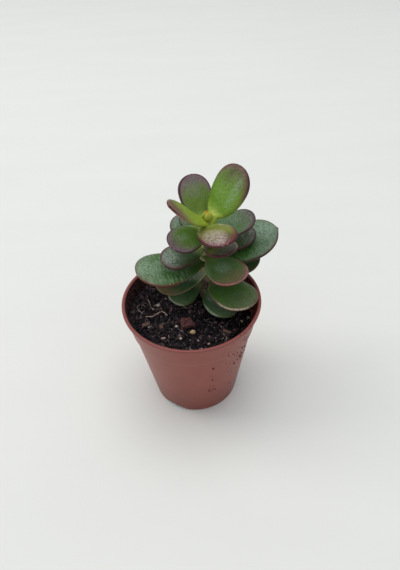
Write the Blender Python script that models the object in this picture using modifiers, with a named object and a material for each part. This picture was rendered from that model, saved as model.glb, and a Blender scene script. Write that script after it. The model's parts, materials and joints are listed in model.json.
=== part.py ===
"""Potted jade plant: a young jade plant in a small tapered plastic nursery pot.

Metres, +Z up. The origin is the middle of the pot's base, on the surface that the pot stands on.
"""

import math

import bmesh
import bpy
from mathutils import Matrix, Vector, noise
from mathutils.bvhtree import BVHTree

MM = 0.001
GAP = 0.3 * MM  # clearance between pieces that rest on or in each other
MERGE = 0.01 * MM

# Pot: a 60 mm nursery pot, with a stacking collar under its rim.
POT_HEIGHT = 55 * MM
RIM_RADIUS = 30 * MM
RIM_HEIGHT = 1.1 * MM
RIM_WIDTH = 1.45 * MM
COLLAR_HEIGHT = 11.9 * MM
COLLAR_TOP_RADIUS = 29.0 * MM
COLLAR_FOOT_RADIUS = 27.3 * MM
BODY_TOP_RADIUS = 26.7 * MM
BASE_RADIUS = 19.75 * MM
WALL = 0.8 * MM
FLOOR = 1.0 * MM
EDGE_ROUND = 0.35 * MM
TURNED_STEPS = 48
DRAIN_COUNT = 3
DRAIN_HEADING = 237  # degrees, the first drain arch
DRAIN_HALF_WIDTH = 5.8 * MM
DRAIN_HEIGHT = 2.0 * MM
DRAIN_REACH = (15.5 * MM, 24 * MM)  # radii between which an arch is cut

# Soil: a plug of potting mix, banked up against one side of the pot.
SOIL_LEVEL = 45.5 * MM  # on the pot's axis
SOIL_SLOPE = -0.12  # rise along +X
SOIL_SHOULDER = 40.5 * MM  # the plug's side is straight below this height
SOIL_FLARE = 0.17  # how fast the plug widens above its shoulder
SOIL_RINGS = 10
SOIL_CHAMFER_RADIUS = 14.6 * MM
SOIL_CHAMFER_HEIGHT = 4.5 * MM
CLOD_SIZE = 4.2 * MM
CLOD_HEIGHT = 0.9 * MM
GRAIN_SIZE = 1.7 * MM
GRAIN_HEIGHT = 0.35 * MM

# Stem: it leans a little, and is set 12 mm deep in the soil.
STEM_FOOT = Vector((5.2, 13.5, 44.9)) * MM
STEM_TOP = Vector((7.7, 12.5, 86.4)) * MM
STEM_LENGTH = (STEM_TOP - STEM_FOOT).length
STEM_FOOT_RADIUS = 2.3 * MM
STEM_TOP_RADIUS = 1.3 * MM
STEM_DEPTH = 12 * MM
STEM_STATIONS = 26
NODE_SWELL = 0.15 * MM
NODE_SPREAD = 0.9 * MM
BUD_RADIUS = 1.6 * MM
BUD_LENGTH = 5 * MM

# Leaves: fleshy, widest towards the tip, drawn in at the base.
LEAF_WIDTH_RATIO = 0.74
LEAF_THICKNESS_RATIO = 0.115
LEAF_WIDEST = 0.62  # share of the length
LEAF_BASE_RATIO = 0.28  # base width as a share of the full width
LEAF_SEGMENTS = 14
LEAF_RINGS = 10

# One row for each pair of leaves, from the growing tip down. A leaf is: height up the stem in mm,
# heading in degrees from +X, rise above the level in degrees, roll about its own axis in degrees,
# length in mm, and the angle in degrees through which it curls up along its length.
LEAF_PAIRS = (
    ((39, 28, 49, 9, 24.5, 8), (40, 225, 43, -16, 22.5, 1)),
    ((37, 112, 44, 10, 20.5, 16), (38.5, 287, 27, 2, 21, -26)),
    ((34, 10, 13, 6, 20, 10), (37.5, 229, 12, -15, 18.5, -13)),
    ((30.5, 111, 16, -8, 17, 6), (32, 298, 14, 2, 18, 1)),
    ((27.5, 13, 7, 10, 20.5, 8), (28, 210, 2, -14, 18.5, -3)),
    ((24.5, 129, 24, -3, 18.5, 11), (24, 302, -1, 1, 23, 11)),
    ((21, 9, 14, 4, 31, 10), (20.5, 203, 1, -2, 29, 15)),
    ((14.5, 1, 8, 0, 23, 13), (14.5, 209, -2, -2, 21, 7)),
    ((12, 312, -4, -5, 26.5, 8), (9, 221, -5, -14, 17, 11)),
    ((4.5, 297, -4, -17, 20, 7), (5, 154, 9, -4, 18, 11)),
)

# What lies on the soil: places are X and Y in mm, and headings are in degrees.
BARK_CHIP = ((-2.4, -7.2), 20, (6.4, 5.4, 2.4))
PEBBLE = ((0, -12), 30, (1.3, 1.1, 0.9))
PERLITE = (
    ((-7, -9.4), 10, (1.0, 0.8, 0.7)),
    ((-5, -16), 60, (0.9, 0.8, 0.6)),
    ((6.5, -18), 0, (0.8, 0.6, 0.5)),
    ((-14.8, 3.2), 45, (1.1, 0.9, 0.8)),
    ((21.6, -4.6), 80, (0.7, 0.9, 0.9)),
)
WOOD_CHIPS = (
    ((-20, -8), 35, (4.2, 2.0, 0.9)),
    ((-13.4, -9), 110, (3.2, 1.5, 0.8)),
    ((14.6, -10.6), 150, (4.6, 1.8, 0.9)),
)
ROOTS = (
    ((-20.2, -3.8), (-17.2, -3.4), (-14.9, -1.4), (-13, -0.4), (-10.8, -1.8)),
    ((-19.8, 7.4), (-18.8, 5), (-18.2, 2.6), (-16.9, 0.8)),
    ((-21, 3.4), (-23, 3.6), (-24.2, 1.8), (-23, -0.4), (-21.6, -1.8)),
)
ROOT_RADII = (0.35 * MM, 0.28 * MM, 0.25 * MM)
ROOT_STEP = 0.7 * MM
CHIP_BEVEL = 0.25 * MM


def clear_scene():
    for obj in list(bpy.data.objects):
        bpy.data.objects.remove(obj, do_unlink=True)


def new_collection(name, hidden=False):
    collection = bpy.data.collections.new(name)
    bpy.context.scene.collection.children.link(collection)
    collection.hide_render = hidden
    return collection


def material(name, color, roughness, metallic=0.0):
    made = bpy.data.materials.new(name)
    made.use_nodes = True
    shader = made.node_tree.nodes["Principled BSDF"]
    shader.inputs["Base Color"].default_value = (*color, 1.0)
    shader.inputs["Roughness"].default_value = roughness
    shader.inputs["Metallic"].default_value = metallic
    made.diffuse_color = (*color, 1.0)
    return made


def place(name, data, collection, finish=None):
    obj = bpy.data.objects.new(name, data)
    collection.objects.link(obj)
    if finish is not None:
        data.materials.append(finish)
    return obj


def move_to(obj, collection):
    for current in list(obj.users_collection):
        current.objects.unlink(obj)
    collection.objects.link(obj)


def mesh_from(bm, name):
    mesh = bpy.data.meshes.new(name)
    bm.to_mesh(mesh)
    bm.free()
    return mesh


def turned(name, profile, collection, finish):
    """An object turned about Z from (radius, height) points, which run down its outer side."""
    bm = bmesh.new()
    corners = [bm.verts.new((radius, 0, height)) for radius, height in profile]
    for first, second in zip(corners, corners[1:]):
        bm.edges.new((first, second))
    obj = place(name, mesh_from(bm, name), collection, finish)
    screw = obj.modifiers.new("turn", "SCREW")
    screw.steps = TURNED_STEPS
    screw.render_steps = TURNED_STEPS
    screw.use_merge_vertices = True
    screw.merge_threshold = MERGE
    screw.use_smooth_shade = True
    return obj


def evaluated_mesh(obj):
    """A mesh of the object with its modifiers applied."""
    bpy.context.view_layer.update()
    graph = bpy.context.evaluated_depsgraph_get()
    return bpy.data.meshes.new_from_object(obj.evaluated_get(graph))


def cut(obj, cutter):
    cutter.hide_render = True
    cutter.display_type = "WIRE"
    boolean = obj.modifiers.new("cut by " + cutter.name, "BOOLEAN")
    boolean.operation = "DIFFERENCE"
    boolean.solver = "EXACT"
    boolean.object = cutter


# --- pot ---------------------------------------------------------------------------------------


def outer_radius(height):
    """Radius of the outside of the pot's wall, below the rim."""
    step = POT_HEIGHT - COLLAR_HEIGHT
    if height < step:
        return BASE_RADIUS + (BODY_TOP_RADIUS - BASE_RADIUS) * height / step
    share = (height - step) / (POT_HEIGHT - RIM_HEIGHT - step)
    return COLLAR_FOOT_RADIUS + (COLLAR_TOP_RADIUS - COLLAR_FOOT_RADIUS) * min(share, 1)


def inner_radius(height):
    """Radius of the inside of the pot's wall. Its ledge is a wall's thickness below the outer one."""
    return outer_radius(height + WALL) - WALL


def pot_profile():
    step = POT_HEIGHT - COLLAR_HEIGHT
    ledge = step - WALL
    rim_foot = POT_HEIGHT - RIM_HEIGHT
    rim_inner = RIM_RADIUS - RIM_WIDTH
    inside = [
        (0, FLOOR),
        (inner_radius(FLOOR) - EDGE_ROUND, FLOOR),
        (inner_radius(FLOOR), FLOOR + EDGE_ROUND),
        (inner_radius(ledge) - (COLLAR_FOOT_RADIUS - BODY_TOP_RADIUS), ledge - MERGE),
        (inner_radius(ledge + MERGE), ledge + EDGE_ROUND),
        (rim_inner - EDGE_ROUND / 2, rim_foot),
    ]
    rim = [
        (rim_inner, POT_HEIGHT - EDGE_ROUND),
        (rim_inner + EDGE_ROUND, POT_HEIGHT),
        (RIM_RADIUS - EDGE_ROUND, POT_HEIGHT),
        (RIM_RADIUS, POT_HEIGHT - EDGE_ROUND),
        (RIM_RADIUS, rim_foot + EDGE_ROUND / 2),
        (RIM_RADIUS - EDGE_ROUND, rim_foot),
        (COLLAR_TOP_RADIUS, rim_foot - EDGE_ROUND / 2),
    ]
    outside = [
        (COLLAR_FOOT_RADIUS, step + EDGE_ROUND),
        (COLLAR_FOOT_RADIUS - EDGE_ROUND, step),
        (BODY_TOP_RADIUS, step - EDGE_ROUND),
        (outer_radius(2 * EDGE_ROUND), 2 * EDGE_ROUND),
        (BASE_RADIUS - 2 * EDGE_ROUND, 0),
        (0, 0),
    ]
    return inside + rim + outside


def make_pot(parts, cutters):
    finish = material("terracotta_plastic", (0.36, 0.11, 0.08), 0.42)
    pot = turned("pot", pot_profile(), parts, finish)
    near, far = DRAIN_REACH
    for index in range(DRAIN_COUNT):
        heading = math.radians(DRAIN_HEADING + index * 360 / DRAIN_COUNT)
        bpy.ops.mesh.primitive_cylinder_add(vertices=24, radius=1, depth=far - near)
        arch = bpy.context.object
        arch.name = f"drain_arch_{index + 1}"
        middle = (near + far) / 2
        arch.data.transform(Matrix.Diagonal((DRAIN_HEIGHT, DRAIN_HALF_WIDTH, 1, 1)))
        arch.data.transform(Matrix.Rotation(math.pi / 2, 4, "Y"))
        arch.data.transform(Matrix.Translation((middle, 0, 0)))
        arch.data.transform(Matrix.Rotation(heading, 4, "Z"))
        move_to(arch, cutters)
        cut(pot, arch)
    return pot


# --- soil --------------------------------------------------------------------------------------


def soil_edge(height):
    """Radius of the soil's top edge at a height. It flares from the shoulder, clear of the ledge."""
    shoulder = inner_radius(SOIL_SHOULDER) - GAP
    return min(inner_radius(height) - GAP, shoulder + SOIL_FLARE * (height - SOIL_SHOULDER))


def soil_profile():
    side = soil_edge(SOIL_SHOULDER)
    low = inner_radius(SOIL_CHAMFER_HEIGHT) - GAP
    edge = soil_edge(SOIL_LEVEL)
    top = [(edge * ring / SOIL_RINGS, SOIL_LEVEL) for ring in range(SOIL_RINGS + 1)]
    foot = FLOOR + GAP
    sides = [(side, SOIL_SHOULDER), (low, SOIL_CHAMFER_HEIGHT), (SOIL_CHAMFER_RADIUS, foot), (0, foot)]
    return top + sides


def soil_relief(x, y):
    """Height of the soil's surface over a place on the ground."""
    clods = noise.noise(Vector((x, y, 0.3)) / CLOD_SIZE) * CLOD_HEIGHT
    grains = noise.noise(Vector((x, y, 7.1)) / GRAIN_SIZE) * GRAIN_HEIGHT
    return SOIL_LEVEL + SOIL_SLOPE * x + clods + grains


def make_soil(parts, cutters):
    finish = material("potting_mix", (0.016, 0.010, 0.010), 0.95)
    blank = turned("soil_blank", soil_profile(), parts, None)
    mesh = evaluated_mesh(blank)
    bpy.data.objects.remove(blank)
    for vertex in mesh.vertices:
        if vertex.co.z < SOIL_LEVEL - MERGE:
            continue
        height = soil_relief(vertex.co.x, vertex.co.y)
        spread = soil_edge(height) / soil_edge(SOIL_LEVEL)
        vertex.co = (vertex.co.x * spread, vertex.co.y * spread, height)
    mesh.name = "soil"
    soil = place("soil", mesh, parts, finish)

    direction = (STEM_TOP - STEM_FOOT).normalized()
    above = 4 * MM
    length = STEM_DEPTH + GAP + above
    bpy.ops.mesh.primitive_cylinder_add(vertices=20, radius=STEM_FOOT_RADIUS + GAP, depth=length)
    hole = bpy.context.object
    hole.name = "stem_hole"
    middle = STEM_FOOT + direction * (above - length / 2)
    turn = Vector((0, 0, 1)).rotation_difference(direction).to_matrix().to_4x4()
    hole.data.transform(Matrix.Translation(middle) @ turn)
    move_to(hole, cutters)
    cut(soil, hole)
    return soil


# --- plant -------------------------------------------------------------------------------------


def node_heights():
    return [leaf[0] * MM for pair in LEAF_PAIRS for leaf in pair]


def stem_point(height):
    return STEM_FOOT.lerp(STEM_TOP, height / STEM_LENGTH)


def stem_radius(height):
    share = max(0.0, height) / STEM_LENGTH
    plain = STEM_FOOT_RADIUS + (STEM_TOP_RADIUS - STEM_FOOT_RADIUS) * share
    nearest = min(abs(height - node) for node in node_heights())
    return plain + NODE_SWELL * math.exp(-((nearest / NODE_SPREAD) ** 2))


def make_stem(parts):
    curve = bpy.data.curves.new("stem", "CURVE")
    curve.dimensions = "3D"
    curve.bevel_depth = 1.0
    curve.bevel_resolution = 5
    curve.use_fill_caps = True
    spline = curve.splines.new("POLY")
    spline.points.add(STEM_STATIONS - 1)
    for index, point in enumerate(spline.points):
        height = -STEM_DEPTH + (STEM_LENGTH + STEM_DEPTH) * index / (STEM_STATIONS - 1)
        point.co = (*stem_point(height), 1)
        point.radius = stem_radius(height)
    return place("stem", curve, parts, material("stem_skin", (0.16, 0.12, 0.06), 0.6))


def make_bud(parts):
    """The growing tip: a small pointed egg that stands on the end of the stem."""
    bm = bmesh.new()
    bmesh.ops.create_uvsphere(bm, u_segments=12, v_segments=8, radius=1)
    for vertex in bm.verts:
        share = (vertex.co.z + 1) / 2
        narrow = 1 - 0.45 * share**2
        across = BUD_RADIUS * narrow
        vertex.co = (vertex.co.x * across, vertex.co.y * across * 0.8, BUD_LENGTH * share)
    bmesh.ops.translate(bm, verts=bm.verts, vec=STEM_TOP + Vector((0, 0, GAP)))
    mesh = mesh_from(bm, "bud")
    mesh.shade_smooth()
    return place("bud", mesh, parts, material("bud_skin", (0.35, 0.30, 0.05), 0.5))


def width_share(along):
    """Half width of a leaf as a share of its greatest, at a share of its length."""
    if along < LEAF_WIDEST:
        rise = math.sin(math.pi / 2 * along / LEAF_WIDEST) ** 1.35
        return LEAF_BASE_RATIO + (1 - LEAF_BASE_RATIO) * rise
    past = (along - LEAF_WIDEST) / (1 - LEAF_WIDEST)
    return math.sqrt(max(0.0, 1 - past**2.3))


def thickness_share(along):
    """Half thickness of a leaf as a share of its greatest."""
    body = 0.6 + 0.4 * math.sin(math.pi * along)
    return body * math.sqrt(max(width_share(along), 0.0)) if along > LEAF_WIDEST else body


def make_leaf(name, height, heading, rise, roll, length, curl, parts, finish):
    bm = bmesh.new()
    bmesh.ops.create_uvsphere(bm, u_segments=LEAF_SEGMENTS, v_segments=LEAF_RINGS, radius=1)
    half_width = length * LEAF_WIDTH_RATIO / 2
    half_thickness = length * LEAF_THICKNESS_RATIO / 2
    bend = math.radians(curl)
    for vertex in bm.verts:
        along = (vertex.co.z + 1) / 2
        round_section = math.hypot(vertex.co.x, vertex.co.y)
        across = vertex.co.x / max(round_section, MERGE)
        over = vertex.co.y / max(round_section, MERGE)
        if round_section < MERGE:
            across = over = 0
        side = across * half_width * width_share(along)
        up = over * half_thickness * thickness_share(along)
        angle = bend * along
        run = length * math.sin(angle) / bend
        lift = length * (1 - math.cos(angle)) / bend
        vertex.co = (run - up * math.sin(angle), side, lift + up * math.cos(angle))

    rise_angle = math.radians(rise)
    base_half = half_thickness * thickness_share(0)
    clear = stem_radius(height) + GAP + base_half * abs(math.sin(rise_angle)) / 2
    start = clear / math.cos(rise_angle)
    bmesh.ops.translate(bm, verts=bm.verts, vec=(start, 0, 0))
    turn = Matrix.Rotation(math.radians(heading), 4, "Z")
    turn = turn @ Matrix.Rotation(-rise_angle, 4, "Y") @ Matrix.Rotation(math.radians(roll), 4, "X")
    bm.transform(Matrix.Translation(stem_point(height)) @ turn)
    mesh = mesh_from(bm, name)
    mesh.shade_smooth()
    return place(name, mesh, parts, finish)


def make_leaves(parts):
    young = Vector((0.20, 0.34, 0.05))
    old = Vector((0.05, 0.12, 0.06))
    number = 0
    for row, pair in enumerate(LEAF_PAIRS):
        tint = young.lerp(old, row / (len(LEAF_PAIRS) - 1))
        for height, heading, rise, roll, length, curl in pair:
            number += 1
            name = f"leaf_{number:02d}"
            finish = material(name + "_skin", tint, 0.4)
            make_leaf(name, height * MM, heading, rise, roll, length * MM, curl, parts, finish)


# --- what lies on the soil ---------------------------------------------------------------------


def surface_of(obj):
    bm = bmesh.new()
    bm.from_mesh(evaluated_mesh(obj))
    tree = BVHTree.FromBMesh(bm)
    bm.free()
    return tree


def height_at(surface, x, y):
    above = Vector((x, y, POT_HEIGHT))
    return surface.ray_cast(above, Vector((0, 0, -1)))[0].z


def seat(obj, surface):
    """Lowers a piece until its underside is a gap above the soil."""
    mesh = evaluated_mesh(obj)
    slack = min(v.co.z - height_at(surface, v.co.x, v.co.y) for v in mesh.vertices)
    obj.data.transform(Matrix.Translation((0, 0, GAP - slack)))


def make_lump(name, spot, turned_by, radii, surface, parts, finish):
    """A rounded grain."""
    bm = bmesh.new()
    bmesh.ops.create_icosphere(bm, subdivisions=2, radius=MM)
    for vertex in bm.verts:
        dent = 1 + 0.18 * noise.noise(vertex.co / MM * 1.3 + Vector(spot).to_3d())
        vertex.co *= dent
    bm.transform(Matrix.Diagonal((*radii, 1)))
    bm.transform(Matrix.Rotation(math.radians(turned_by), 4, "Z"))
    bm.transform(Matrix.Translation((spot[0] * MM, spot[1] * MM, POT_HEIGHT)))
    mesh = mesh_from(bm, name)
    mesh.shade_smooth()
    obj = place(name, mesh, parts, finish)
    seat(obj, surface)


def make_chip(name, spot, turned_by, size, surface, parts, finish):
    """A split piece of wood or bark with worn edges, which leans with the slope of the soil."""
    bpy.ops.mesh.primitive_cube_add(size=MM)
    obj = bpy.context.object
    obj.name = name
    move_to(obj, parts)
    obj.data.materials.append(finish)
    bm = bmesh.new()
    bm.from_mesh(obj.data)
    for vertex in bm.verts:
        vertex.co.x *= 1 - 0.25 * (vertex.co.y > 0)
        vertex.co.z *= 1 - 0.3 * (vertex.co.x > 0)
    bm.transform(Matrix.Diagonal((*size, 1)))
    bm.transform(Matrix.Rotation(math.radians(turned_by), 4, "Z"))
    bm.transform(Matrix.Rotation(-math.atan(SOIL_SLOPE), 4, "Y"))
    bm.transform(Matrix.Translation((spot[0] * MM, spot[1] * MM, POT_HEIGHT)))
    bm.to_mesh(obj.data)
    bm.free()
    bevel = obj.modifiers.new("worn edges", "BEVEL")
    bevel.width = CHIP_BEVEL
    bevel.segments = 2
    seat(obj, surface)


def smooth_route(spots):
    """Evenly close points on a smooth curve through the spots."""
    points = [Vector(spot) * MM for spot in spots]
    ends = [2 * points[0] - points[1]] + points + [2 * points[-1] - points[-2]]
    route = []
    for before, start, end, after in zip(ends, ends[1:], ends[2:], ends[3:]):
        count = max(2, round((end - start).length / ROOT_STEP))
        for step in range(count):
            t = step / count
            route.append(
                0.5 * (2 * start + (end - before) * t)
                + 0.5 * (2 * before - 5 * start + 4 * end - after) * t**2
                + 0.5 * (3 * start - before - 3 * end + after) * t**3
            )
    route.append(points[-1])
    return route


def make_root(name, spots, radius, surface, parts, finish):
    """A dry root fibre that follows the soil's surface."""
    route = smooth_route(spots)
    ground = [height_at(surface, spot.x, spot.y) for spot in route]
    curve = bpy.data.curves.new(name, "CURVE")
    curve.dimensions = "3D"
    curve.bevel_depth = radius
    curve.bevel_resolution = 1
    curve.use_fill_caps = True
    spline = curve.splines.new("POLY")
    spline.points.add(len(route) - 1)
    for index, point in enumerate(spline.points):
        near = ground[max(0, index - 1) : index + 2]
        height = max(near) + radius + GAP + 0.1 * MM
        point.co = (route[index].x, route[index].y, height, 1)
    place(name, curve, parts, finish)


def make_litter(soil, parts):
    surface = surface_of(soil)
    bark = material("bark", (0.10, 0.035, 0.022), 0.9)
    make_chip("bark_chip", *BARK_CHIP, surface, parts, bark)
    make_lump("pebble", *PEBBLE, surface, parts, material("tan_stone", (0.36, 0.24, 0.15), 0.8))
    white = material("perlite", (0.72, 0.70, 0.66), 0.85)
    for number, lump in enumerate(PERLITE, 1):
        make_lump(f"perlite_{number:02d}", *lump, surface, parts, white)
    wood = material("wood", (0.15, 0.08, 0.05), 0.9)
    for number, chip in enumerate(WOOD_CHIPS, 1):
        make_chip(f"wood_chip_{number:02d}", *chip, surface, parts, wood)
    fibre = material("root_fibre", (0.40, 0.33, 0.25), 0.8)
    for number, (spots, radius) in enumerate(zip(ROOTS, ROOT_RADII), 1):
        make_root(f"root_fibre_{number:02d}", spots, radius, surface, parts, fibre)


def main():
    clear_scene()
    parts = new_collection("potted_jade_plant")
    cutters = new_collection("cutters", hidden=True)
    make_pot(parts, cutters)
    soil = make_soil(parts, cutters)
    make_stem(parts)
    make_bud(parts)
    make_leaves(parts)
    make_litter(soil, parts)


main()
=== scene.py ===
"""Looks of a young jade plant in a small tapered nursery pot. Metres, +Z up."""

import json
import math
import random

import bmesh
import bpy
import numpy as np
from mathutils import Matrix, Vector, noise
from mathutils.bvhtree import BVHTree

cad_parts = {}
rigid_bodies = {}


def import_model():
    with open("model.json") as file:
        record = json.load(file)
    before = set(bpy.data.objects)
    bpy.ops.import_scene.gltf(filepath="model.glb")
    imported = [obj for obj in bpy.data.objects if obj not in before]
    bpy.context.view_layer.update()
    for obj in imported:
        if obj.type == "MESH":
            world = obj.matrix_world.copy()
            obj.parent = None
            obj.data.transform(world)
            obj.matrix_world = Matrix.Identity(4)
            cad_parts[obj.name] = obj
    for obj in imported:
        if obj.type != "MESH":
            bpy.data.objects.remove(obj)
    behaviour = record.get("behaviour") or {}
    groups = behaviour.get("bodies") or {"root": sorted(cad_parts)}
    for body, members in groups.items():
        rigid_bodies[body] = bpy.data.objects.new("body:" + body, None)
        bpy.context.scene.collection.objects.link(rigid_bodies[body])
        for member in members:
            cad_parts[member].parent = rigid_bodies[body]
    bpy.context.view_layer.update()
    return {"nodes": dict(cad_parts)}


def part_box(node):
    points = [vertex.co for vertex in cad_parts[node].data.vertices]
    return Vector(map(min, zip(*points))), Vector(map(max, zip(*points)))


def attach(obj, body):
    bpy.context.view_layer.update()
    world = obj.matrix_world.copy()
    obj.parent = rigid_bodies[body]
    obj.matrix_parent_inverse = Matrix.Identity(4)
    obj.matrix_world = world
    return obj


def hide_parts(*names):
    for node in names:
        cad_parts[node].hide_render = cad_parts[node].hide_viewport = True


for startup in list(bpy.data.objects):
    bpy.data.objects.remove(startup)

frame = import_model()

MM = 0.001
MERGE = 0.01 * MM

# Pot: widths and heights that its box doesn't give.
RIM_HEIGHT = 1.1 * MM
RIM_WIDTH = 1.45 * MM
COLLAR_HEIGHT = 11.9 * MM
COLLAR_TOP_IN = 1.0 * MM  # how far the collar's top stands in from the rim
COLLAR_FOOT_IN = 2.7 * MM
BODY_TOP_IN = 3.3 * MM
BASE_IN = 10.25 * MM
WALL = 0.8 * MM
FLOOR = 1.0 * MM
POT_STEPS = 144
CORNER_STEPS = 4
DRAIN_HEADINGS = (237, 357, 117)
DRAIN_HALF_WIDTH = 5.8 * MM
DRAIN_HEIGHT = 2.0 * MM
DRAIN_REACH = (15.5 * MM, 24 * MM)
OVER_DRAINS = 3 * MM  # height of a ring of edges that keeps the cuts out of the wall above

# Leaves.
LEAF_SEGMENTS = 44
LEAF_RINGS = 44
LEAF_WIDEST = 0.62  # share of the length
LEAF_THICKNESS_RATIO = 0.115
LEAF_EDGE_POWER = 2.7  # above 2 gives a blunter margin than an ellipse
LEAF_WAVE = 0.025  # unevenness of the outline, as a share of the width
LEAF_SWELL = 0.012  # unevenness of the surface, as a share of the length

# Soil.
SOIL_CELLS = 190
SOIL_GAP = 0.1 * MM  # between the soil and the pot's wall
STEM_HOLE = 3.4 * MM  # radius of the soil's hole round the stem
CLOD_SIZE = 1.9 * MM
CRUMB_BATCH = 50
CRUMB_KINDS = (  # sizes in millimetres, batches, palest tone
    ((0.8, 1.6), 5, 0.55),
    ((0.4, 0.9), 14, 0.75),
    ((0.12, 0.35), 22, 1.0),
)
GATHERED_SIZES = (0.2, 0.6)  # in the clumps and on the wall, in millimetres
CLUMPS = (  # place and spread in millimetres, count
    ((15, -13), 2.2, 70),
    ((-17, -7), 2.0, 30),
    ((2, 3), 2.0, 30),
    ((3, -22), 1.3, 22),
)
WALL_CRUMBS = (  # headings, heights in millimetres, count
    ((135, 200), (48, 52.5), 130),
    ((200, 255), (47, 51), 90),
    ((-50, 45), (43, 48.5), 90),
)
FIBRE_COUNT = 240

# Specks of soil on the outside of the pot: headings in degrees, heights and sizes in millimetres.
GRIT_SIZE = 0.36
GRIT = (
    (314.5, 31.8), (309.9, 40.5), (301.9, 43.6), (319.6, 31.9), (289.6, 18.4), (288.1, 27.2),
    (306.7, 27.4), (287.9, 37.0), (318, 43), (325, 34.6), (324.5, 30.5), (319, 47.2),
)
GRIT_PATCHES = (  # heading and its spread, height and its spread, largest size, count
    (323, 5, 38, 6, 0.34, 30),
    (290, 4, 19, 2.5, 0.3, 12),
)

CAMERA_PLACE = Vector((0.00401, -0.15328, 0.20354))
CAMERA_PITCH = math.radians(42.63)
CAMERA_ROLL = -0.04719
CAMERA_LENS = 31.31


def paint(code):
    """The linear colour of an sRGB hex code."""
    channels = [int(code[start : start + 2], 16) / 255 for start in (1, 3, 5)]
    return tuple(c / 12.92 if c <= 0.04045 else ((c + 0.055) / 1.055) ** 2.4 for c in channels)


# --- shader nodes ------------------------------------------------------------------------------


class Value:
    """An output of a shader node. Arithmetic on it adds Math nodes."""

    def __init__(self, finish, socket):
        self.finish = finish
        self.socket = socket

    def maths(self, operation, first, second):
        return self.finish.node("Math", {"operation": operation}, {0: first, 1: second})

    def __add__(self, other):
        return self.maths("ADD", self, other)

    def __sub__(self, other):
        return self.maths("SUBTRACT", self, other)

    def __rsub__(self, other):
        return self.maths("SUBTRACT", other, self)

    def __mul__(self, other):
        return self.maths("MULTIPLY", self, other)

    def at_least(self, other):
        return self.maths("MAXIMUM", self, other)

    __radd__ = __add__
    __rmul__ = __mul__


class Finish:
    """A material: a Principled shader and the nodes that feed it."""

    def __init__(self, name, **constants):
        self.material = bpy.data.materials.new(name)
        self.material.use_nodes = True
        self.tree = self.material.node_tree
        self.shader = self.tree.nodes["Principled BSDF"]
        for socket, value in constants.items():
            self.feed(self.shader.inputs[socket.replace("_", " ")], value)
        self.place = self.node("TexCoord", output="Object")

    def feed(self, socket, value):
        if isinstance(value, Value):
            self.tree.links.new(value.socket, socket)
        elif socket.type == "RGBA":
            socket.default_value = (*value, 1)
        else:
            socket.default_value = value

    def node(self, kind, settings=None, inputs=None, output=0):
        """Adds a node. Its settings come first, then its inputs; a ramp's stops are a setting."""
        node = self.tree.nodes.new("ShaderNode" + kind)
        for name, value in (settings or {}).items():
            if name == "stops":
                self.set_stops(node.color_ramp.elements, value)
            else:
                setattr(node, name, value)
        for socket, value in (inputs or {}).items():
            self.feed(node.inputs[socket], value)
        return Value(self, node.outputs[output])

    def set_stops(self, elements, stops):
        elements.remove(elements[1])
        elements[0].position = stops[0][0]
        elements[0].color = (*stops[0][1], 1)
        for position, colour in stops[1:]:
            elements.new(position).color = (*colour, 1)

    def grain(self, size, detail=2.0, place=None, distortion=0.0):
        """Noise from 0 to 1, with lumps of about this size."""
        inputs = {"Vector": place or self.place, "Scale": 1 / size, "Detail": detail}
        return self.node("TexNoise", None, {**inputs, "Distortion": distortion})

    def cells(self, size, place=None):
        """Distance from the middles of scattered cells of this size."""
        inputs = {"Vector": place or self.place, "Scale": 1 / size}
        return self.node("TexVoronoi", None, inputs)

    def band(self, value, start, end):
        """0 at start and 1 at end, smooth between them."""
        inputs = {"Value": value, "From Min": start, "From Max": end}
        return self.node("MapRange", {"interpolation_type": "SMOOTHSTEP"}, inputs)

    def mix(self, share, first, second, blend="MIX"):
        settings = {"data_type": "RGBA", "blend_type": blend}
        return self.node("Mix", settings, {0: share, 6: first, 7: second}, output=2)

    def ramp(self, value, *stops):
        return self.node("ValToRGB", {"stops": stops}, {"Fac": value})

    def read(self, name, output="Fac"):
        """The piece's own attribute of this name."""
        return self.node("Attribute", {"attribute_name": name}, output=output)

    def parts_of(self, vector):
        """The X, Y and Z of a vector."""
        return [self.node("SeparateXYZ", None, {0: vector}, output=axis) for axis in range(3)]

    def stretched(self, *factors):
        """Object coordinates, multiplied along each axis."""
        return self.node("Mapping", None, {"Vector": self.place, "Scale": factors})

    def bump(self, height, depth, over=None):
        inputs = {"Height": height, "Distance": depth}
        if over is not None:
            inputs["Normal"] = over
        return self.node("Bump", None, inputs)

    def surface(self, **links):
        for socket, value in links.items():
            self.feed(self.shader.inputs[socket.replace("_", " ")], value)
        return self


# --- meshes ------------------------------------------------------------------------------------


def add_piece(name, bm, finish, nodes=(), sharp_angle=None):
    """Makes a piece of the object from a bmesh, which it frees."""
    mesh = bpy.data.meshes.new(name)
    bm.to_mesh(mesh)
    bm.free()
    mesh.shade_smooth()
    if sharp_angle is not None:
        mesh.set_sharp_from_angle(angle=math.radians(sharp_angle))
    mesh.materials.append(finish.material)
    piece = bpy.data.objects.new(name, mesh)
    bpy.context.scene.collection.objects.link(piece)
    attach(piece, "root")
    if nodes:
        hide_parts(*nodes)
    return piece


def node_mesh(node):
    """A merged copy of a CAD node's mesh."""
    bm = bmesh.new()
    bm.from_mesh(frame["nodes"][node].data)
    bmesh.ops.remove_doubles(bm, verts=bm.verts, dist=MERGE)
    return bm


def evaluated(obj):
    """A bmesh of an object with its modifiers applied."""
    bpy.context.view_layer.update()
    graph = bpy.context.evaluated_depsgraph_get()
    mesh = bpy.data.meshes.new_from_object(obj.evaluated_get(graph))
    bm = bmesh.new()
    bm.from_mesh(mesh)
    return bm


def scratch_object(name, bm):
    mesh = bpy.data.meshes.new(name)
    bm.to_mesh(mesh)
    bm.free()
    obj = bpy.data.objects.new(name, mesh)
    bpy.context.scene.collection.objects.link(obj)
    return obj


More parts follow.
